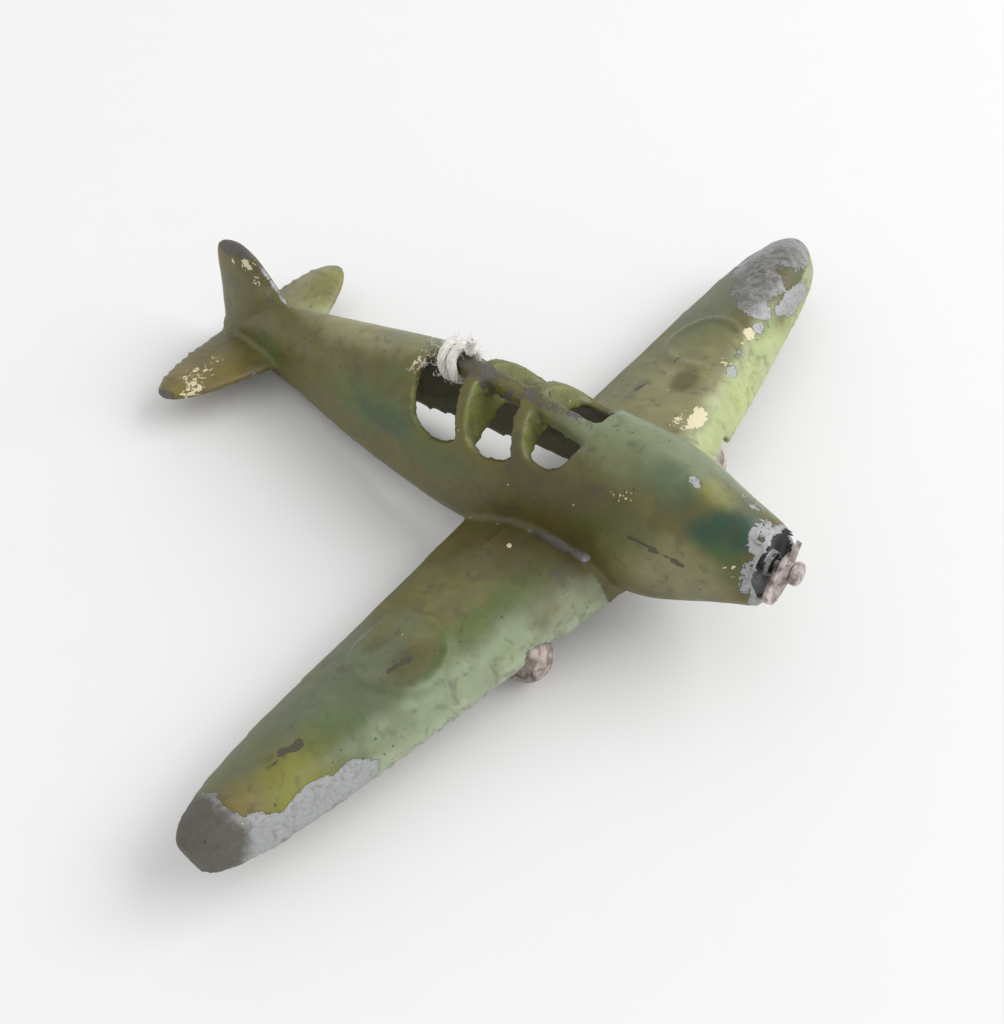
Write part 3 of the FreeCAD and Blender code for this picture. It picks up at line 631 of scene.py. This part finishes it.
def worn_enamel(paints):
    """Glossy camouflage enamel, chipped down to cast metal, with crumbs of undercoat and dust."""
    s = Shader("worn_camouflage_enamel")
    tiny, flake, mottle = s.cloud(0.35, 3), s.cloud(1.3, 6, 0.4, 3.0), s.cloud(3.8, 6, 0.8, 7.0)
    value = s.sum("ADD", s.spread(mottle, 0.62, 1.30), s.spread(flake, -0.14, 0.14))
    tone = s.add("ShaderNodeHueSaturation", {
        "Color": s.own("paint", "Color"), "Value": value,
        "Hue": s.spread(s.cloud(2.4, 4, 0, 11.0), 0.475, 0.525),
        "Saturation": s.spread(s.cloud(5.0, 4, 0, 15.0), 0.75, 1.25),
    }).outputs["Color"]
    film = s.sum("MULTIPLY", s.rise(0.52, 0.70, s.cloud(2.0, 8, 1.2, 21.0)), 0.42)
    tone = s.blend(film, tone, tuple(paints.score))
    edge = s.sum("ADD", s.spread(flake, -0.45, 0.45), s.spread(tiny, -0.36, 0.36))
    worn = s.sum("ADD", s.own("bare"), edge)
    chip = s.rise(0.50, 0.55, worn)
    lip = s.sum("MULTIPLY", s.rise(0.40, 0.50, worn), 0.45)
    tone = s.blend(lip, tone, tuple(paints.score))
    mark = s.sum("ADD", s.own("scores"), s.spread(flake, -0.35, 0.35))
    mark = s.sum("MULTIPLY", s.rise(0.38, 0.62, mark), 0.85)
    tone = s.blend(mark, tone, tuple(paints.score))
    gloom = s.sum("ADD", s.own("dark"), s.spread(s.cloud(1.0, 8, 0.5, 31.0), -0.45, 0.45))
    metal = s.blend(s.rise(0.1, 0.8, gloom), tuple(paints.metal), tuple(paints.tarnish))
    metal = s.blend(s.sum("MULTIPLY", s.rise(0.45, 0.7, s.cloud(0.8, 6, 1.0, 51.0)), 0.4), metal, tone)
    metal = s.blend(s.spread(tiny, -0.1, 0.45), metal, tuple(paints.score))
    tone = s.blend(chip, tone, metal)
    crumb = s.sum("ADD", s.own("crumbs"), s.spread(s.cloud(0.5, 8, 0.6, 41.0), -1.0, 1.0))
    crumb = s.rise(0.50, 0.58, crumb)
    tone = s.blend(crumb, tone, tuple(paints.cream))
    pits, dust = s.specks(1.3, 0.13, 0.22, 0.31), s.specks(2.1, 0.12, 0.20, 0.77)
    tone = s.blend(s.sum("MULTIPLY", pits, 0.7), tone, tuple(paints.score))
    tone = s.blend(s.sum("MULTIPLY", dust, 0.7), tone, tuple(paints.cream))
    rough = s.sum("ADD", 1 - paints.gloss, s.spread(mottle, -0.08, 0.14))
    rough = s.sum("ADD", rough, s.sum("MULTIPLY", chip, 0.14), clamp=True)
    height = s.sum("SUBTRACT", s.spread(flake, 0.0, 0.55), chip)
    height = s.sum("ADD", height, s.sum("ADD", crumb, s.spread(mottle, 0.0, 1.2)))
    height = s.sum("SUBTRACT", height, s.sum("ADD", mark, pits))
    return s.finish(
        Base_Color=tone, Metallic=s.sum("MULTIPLY", chip, 0.35), Roughness=rough,
        Normal=s.relief(height, 0.06), IOR=1.5,
    )


class TOYPLANE_OT_airframe(bpy.types.Operator):
    """Builds the cast airframe in worn camouflage enamel"""

    bl_idname = "toyplane.airframe"
    bl_label = "Cast Airframe"

    def execute(self, context):
        cast, paints = context.scene.toyplane_casting, context.scene.toyplane_paint
        piece = worn_copy(
            "airframe", "worn_airframe", cast.grid, cast.softening, cast.wobble, cast.wobble_size
        )
        points, normals = mesh_arrays(piece.data)
        found = weather(level_from_row(points), normals @ TIP_BACK, paints)
        lift = found.pop("raised") * MM - cast.chip_depth * found.pop("sunk")
        piece.data.vertices.foreach_set("co", (points + normals * lift[:, None]).ravel())
        for name, values in found.items():
            store(piece.data, name, values)
        piece.data.update()
        hand_over(piece, "airframe", worn_enamel(paints), "worn_camouflage", "airframe")
        return {"FINISHED"}


# ---------------------------------------------------------------- wheels, axle and propeller


def old_iron(name, pale, dark, rust, rusting):
    """Dull iron with a pale bloom, rust in blotches and fine pits. rusting is 0 to 1."""
    s = Shader(name)
    blotch, pit = s.cloud(1.1, 8, 0.6, 2.0), s.cloud(0.22, 5, 0.0, 5.0)
    tone = s.blend(s.rise(0.35, 0.68, blotch), tuple(pale), tuple(dark))
    rusty = s.rise(0.66 - 0.3 * rusting, 0.80 - 0.3 * rusting, s.cloud(0.7, 8, 0.9, 9.0))
    tone = s.blend(rusty, tone, tuple(rust))
    tone = s.blend(s.spread(pit, 0.0, 0.35), tone, tuple(dark))
    height = s.sum("ADD", pit, s.sum("MULTIPLY", blotch, 1.4))
    return s.finish(
        Base_Color=tone, Metallic=0.15, Roughness=s.spread(blotch, 0.42, 0.72),
        Normal=s.relief(height, 0.05),
    )


class TOYPLANE_OT_wheels(bpy.types.Operator):
    """Builds the two cast wheels and the wire axle"""

    bl_idname = "toyplane.wheels"
    bl_label = "Wheels and Axle"

    def execute(self, context):
        iron = context.scene.toyplane_iron
        cast_iron = old_iron("old_cast_iron", iron.wheel_tread, iron.wheel_side, iron.rust, 0.1)
        for side in ("starboard", "port"):
            wheel = worn_copy(
                f"wheel_{side}", f"cast_wheel_{side}", iron.grid, 3, iron.wobble, 1.6 * MM
            )
            hand_over(wheel, f"wheel_{side}", cast_iron, "bare_wheel", f"wheel_{side}")
        axle = worn_copy("axle", "wire_axle", iron.grid, 1, iron.wobble / 3, 1.2 * MM)
        wire = old_iron("rusty_wire", iron.iron, iron.rust, iron.rust, 0.8)
        hand_over(axle, "airframe", wire, "steel_wire", "axle")
        return {"FINISHED"}


class TOYPLANE_OT_propeller(bpy.types.Operator):
    """Builds the broken propeller and its pin"""

    bl_idname = "toyplane.propeller"
    bl_label = "Propeller and Pin"

    def execute(self, context):
        iron = context.scene.toyplane_iron
        tin = old_iron("rusty_tin_plate", iron.bloom, iron.iron, iron.rust, 0.3)
        propeller = worn_copy(
            "propeller", "tin_propeller", iron.grid * 0.7, 1, iron.wobble, 0.9 * MM
        )
        hand_over(propeller, "propeller", tin, "rusty_tin", "propeller")
        pin = worn_copy("propeller_pin", "iron_pin", iron.grid * 0.8, 2, iron.wobble, 1.1 * MM)
        hand_over(
            pin, "airframe", old_iron("rusty_pin", iron.bloom, iron.iron, iron.rust, 0.15),
            "steel_wire", "propeller_pin",
        )
        return {"FINISHED"}


# ---------------------------------------------------------------- the string

# The spine where the string grips it, in the level layout: its centre and half sizes (mm).
SPINE_PLACE = (-26.5, 0.78, 13.65)
SPINE_HALF = (1.05, 1.05)
# How far the string moves along the spine in one turn (mm), and the control points in a turn.
WRAP_PITCH = 1.45
ROUTE_STEPS = 14
# The string's fine plies, how far one of them goes for a full twist, and a loose fibre's radius.
PLIES = 7
TWIST_PITCH = 7.0 * MM
FIBRE_RADIUS = 0.022 * MM
# The places on the deck behind the string where lint may catch.
LINT_PLACES = 60


def bare_curve(name, lines, depth=0.0, sides=2):
    """A curve object of open NURBS lines through control points in row-frame metres."""
    data = bpy.data.curves.new(name, "CURVE")
    data.dimensions = "3D"
    data.bevel_depth = depth
    data.bevel_resolution = sides
    data.use_fill_caps = depth > 0
    for points in lines:
        spline = data.splines.new("NURBS")
        spline.points.add(len(points) - 1)
        spline.points.foreach_set("co", np.column_stack([points, np.ones(len(points))]).ravel())
        spline.order_u = 3
        spline.use_endpoint_u = True
        spline.resolution_u = 6
    made = bpy.data.objects.new(name, data)
    bpy.context.scene.collection.objects.link(made)
    return made


def centre_line(route):
    """Points read along a curve that has no thickness."""
    mesh = bpy.data.meshes.new_from_object(route)
    points = np.array([vertex.co for vertex in mesh.vertices])
    bpy.data.meshes.remove(mesh)
    bpy.data.objects.remove(route)
    return points


def wrap_route(settings, draws):
    """Control points of the string's way round the spine, in row-frame metres."""
    half = settings.thickness / MM / 2
    wide, high = SPINE_HALF[0] + half * 0.92, SPINE_HALF[1] + half * 0.92
    steps = int(settings.turns * ROUTE_STEPS)
    start = 0.9
    points = []
    for step in range(steps + 1):
        turn = step / ROUTE_STEPS
        angle = start + 2 * math.pi * turn
        cos, sin = math.cos(angle), math.sin(angle)
        squared = (abs(cos) ** 3.2 + abs(sin) ** 3.2) ** (-1 / 3.2)
        loose = 1.06 + 0.05 * draws.random()
        points.append((
            SPINE_PLACE[0] + (turn - settings.turns / 2) * WRAP_PITCH + 0.10 * draws.uniform(-1, 1),
            SPINE_PLACE[1] + wide * squared * cos * loose,
            SPINE_PLACE[2] + high * squared * sin * loose,
        ))
    tail = np.array(points[-1])
    out = tail - np.array(SPINE_PLACE)
    out[0] = 0.0
    out /= np.linalg.norm(out)
    for reach in (0.5, 1.1, 1.7):
        points.append(tuple(tail + out * reach * 0.55 + np.array([0.35 * reach, 0, 0.55 * reach])))
    return row_from_level(np.array(points))


def twisted(line, plies, radius, pitch):
    """Centre lines of plies twisted round a line."""
    steps = np.diff(line, axis=0)
    travelled = np.concatenate([[0], np.cumsum(np.linalg.norm(steps, axis=1))])
    evenly = np.linspace(0, travelled[-1], max(8, int(travelled[-1] / (0.16 * MM))))
    line = np.column_stack([np.interp(evenly, travelled, line[:, axis]) for axis in range(3)])
    along = np.gradient(line, axis=0)
    along /= np.linalg.norm(along, axis=1)[:, None]
    aside = np.cross(along, np.array([0.97, 0.1, 0.2]))
    aside /= np.linalg.norm(aside, axis=1)[:, None]
    over = np.cross(along, aside)
    made = []
    for ply in range(plies):
        angle = 2 * math.pi * (evenly / pitch + ply / plies)
        offset = np.cos(angle)[:, None] * aside + np.sin(angle)[:, None] * over
        made.append(line + radius * offset)
    return made


def loose_fibres(anchors, outward, count, reach, draws):
    """Short curling fibres that start near anchor points and stand out from them."""
    made = []
    for _ in range(count):
        pick = draws.randrange(len(anchors))
        point = Vector(anchors[pick])
        way = Vector(outward[pick]) + Vector([draws.gauss(0, 0.8) for _ in range(3)])
        way.normalize()
        curl = Vector([draws.gauss(0, 1) for _ in range(3)])
        step = draws.uniform(0.3, 1.0) * reach / 4
        line = [tuple(point)]
        for _ in range(4):
            way = (way + 0.45 * curl.cross(way)).normalized()
            point = point + way * step
            line.append(tuple(point))
        made.append(np.array(line))
    return made


def cotton(settings):
    """White cotton with slightly soiled fibres."""
    s = Shader("white_cotton")
    strand, dirt = s.cloud(0.12, 4, 0.8, 3.0), s.cloud(1.2, 5, 0.4, 8.0)
    tone = s.blend(s.rise(0.45, 0.8, dirt), tuple(settings.white), tuple(settings.soiled))
    tone = s.blend(s.spread(strand, 0.0, 0.35), tone, tuple(settings.soiled))
    return s.finish(
        Base_Color=tone, Roughness=0.92, Sheen_Weight=0.35, Sheen_Roughness=0.5,
        Subsurface_Weight=0.15, Subsurface_Radius=(0.0006, 0.0006, 0.0006),
        Subsurface_Scale=1.0, Normal=s.relief(strand, 0.05),
    )


class TOYPLANE_OT_string(bpy.types.Operator):
    """Wraps the twisted string round the canopy's spine, with its loose fibres"""

    bl_idname = "toyplane.string"
    bl_label = "String Wrap"

    def execute(self, context):
        settings = context.scene.toyplane_string
        draws = random.Random(7)
        line = centre_line(bare_curve("string_route", [wrap_route(settings, draws)]))
        ply = settings.thickness * 0.19
        plies = twisted(line, PLIES, settings.thickness * 0.30, TWIST_PITCH)
        made = [bare_curve("string_wrap_cotton", plies, ply, sides=2)]
        strands = np.concatenate(plies)
        hub = row_from_level([SPINE_PLACE])[0]
        outward = strands - hub
        outward[:, 0] = 0
        outward /= np.linalg.norm(outward, axis=1)[:, None]
        hairs = loose_fibres(
            strands + outward * ply * 0.5, outward, settings.hairs, 1.6 * MM, draws
        )
        made.append(bare_curve("string_hairs", hairs, FIBRE_RADIUS, sides=0))
        deck = []
        for _ in range(LINT_PLACES):
            side = draws.uniform(-3.0, 1.6)
            deck.append((draws.gauss(-30.2, 0.9), side, 14.45 - 0.085 * side * side))
        lint = loose_fibres(
            row_from_level(np.array(deck)), np.tile((0.1, 0, 0.5), (LINT_PLACES, 1)),
            settings.lint, 1.3 * MM, draws,
        )
        made.append(bare_curve("string_lint", lint, FIBRE_RADIUS, sides=0))
        select_only(*made)
        bpy.ops.object.convert(target="MESH")
        bpy.ops.object.join()
        bpy.ops.object.shade_smooth()
        piece = bpy.context.view_layer.objects.active
        piece.name = "string_wrap_cotton"
        hand_over(piece, "airframe", cotton(settings), "cotton", "string_wrap")
        return {"FINISHED"}


# ---------------------------------------------------------------- the stage

# Where the window stands: its bearing and height above the floor (degrees), and how far off (m).
WINDOW_AZIMUTH = 45
WINDOW_HEIGHT = 44
WINDOW_DISTANCE = 1.4


def soft_light(name, azimuth, height, distance, width, tall, power):
    """A large rectangular light that faces the model; angles are in degrees."""
    turn, rise = math.radians(azimuth), math.radians(height)
    way = Vector((
        math.cos(rise) * math.cos(turn), math.cos(rise) * math.sin(turn), math.sin(rise)
    ))
    bpy.ops.object.light_add(type="AREA", location=way * distance)
    light = bpy.context.object
    light.name = name
    light.rotation_euler = way.to_track_quat("Z", "Y").to_euler()
    light.data.shape = "RECTANGLE"
    light.data.size, light.data.size_y = width, tall
    light.data.energy = power


class TOYPLANE_OT_stage(bpy.types.Operator):
    """Lays the pale floor and sets the soft light and the camera"""

    bl_idname = "toyplane.stage"
    bl_label = "Floor, Light and Camera"

    def execute(self, context):
        settings = context.scene.toyplane_stage
        bpy.ops.object.select_all(action="DESELECT")
        bpy.ops.mesh.primitive_plane_add(size=settings.floor_size)
        floor = context.object
        floor.name = "pale_floor"
        s = Shader("pale_paper")
        fibre = s.cloud(6.0, 5, 0.0, 1.0)
        shade = tuple(c * 0.985 for c in settings.floor)
        floor.data.materials.append(s.finish(
            Base_Color=s.blend(fibre, tuple(settings.floor), shade), Roughness=0.75,
            Normal=s.relief(s.cloud(0.8, 4, 0.0, 2.0), 0.01, 0.3),
        ))
        soft_light(
            "window_light", WINDOW_AZIMUTH, WINDOW_HEIGHT, WINDOW_DISTANCE,
            settings.window_size, settings.window_size * 0.7, settings.window,
        )
        world = bpy.data.worlds.new("even_light")
        world.use_nodes = True
        backdrop = world.node_tree.nodes["Background"]
        backdrop.inputs["Color"].default_value = (1.0, 1.0, 1.0, 1.0)
        backdrop.inputs["Strength"].default_value = settings.sky
        context.scene.world = world
        context.scene.view_settings.view_transform = "Standard"
        bpy.ops.object.camera_add()
        camera = context.object
        camera.name = "camera"
        turn = Matrix((CAMERA_RIGHT, CAMERA_TOP, CAMERA_BACK)).transposed()
        camera.matrix_world = Matrix.Translation(Vector(CAMERA_PLACE) * MM) @ turn.to_4x4()
        camera.data.lens = settings.lens
        camera.data.sensor_width = 36.0
        camera.data.clip_start = 0.01
        context.scene.camera = camera
        return {"FINISHED"}


class TOYPLANE_PT_panel(bpy.types.Panel):
    """Lists the toy aeroplane's pieces"""

    bl_idname = "TOYPLANE_PT_panel"
    bl_label = "Toy Aeroplane"
    bl_space_type = "VIEW_3D"
    bl_region_type = "UI"
    bl_category = "Toy Aeroplane"

    def draw(self, context):
        for operator in OPERATORS:
            self.layout.operator(operator.bl_idname)


SETTINGS = {
    "toyplane_casting": CastingSettings,
    "toyplane_paint": PaintSettings,
    "toyplane_iron": IronSettings,
    "toyplane_string": StringSettings,
    "toyplane_stage": StageSettings,
}
OPERATORS = (
    TOYPLANE_OT_airframe, TOYPLANE_OT_wheels, TOYPLANE_OT_propeller, TOYPLANE_OT_string,
    TOYPLANE_OT_stage,
)


def register():
    """Registers the settings, the operators and the panel."""
    for item in (*SETTINGS.values(), *OPERATORS, TOYPLANE_PT_panel):
        bpy.utils.register_class(item)
    for name, group in SETTINGS.items():
        setattr(bpy.types.Scene, name, bpy.props.PointerProperty(type=group))


def unregister():
    """Takes away what register added."""
    for name in SETTINGS:
        delattr(bpy.types.Scene, name)
    for item in reversed((*SETTINGS.values(), *OPERATORS, TOYPLANE_PT_panel)):
        bpy.utils.unregister_class(item)


def main():
    """Builds every piece around the CAD part."""
    register()
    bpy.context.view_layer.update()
    bpy.ops.toyplane.airframe()
    bpy.ops.toyplane.wheels()
    bpy.ops.toyplane.propeller()
    bpy.ops.toyplane.string()
    bpy.ops.toyplane.stage()


if __name__ == "__main__":
    main()
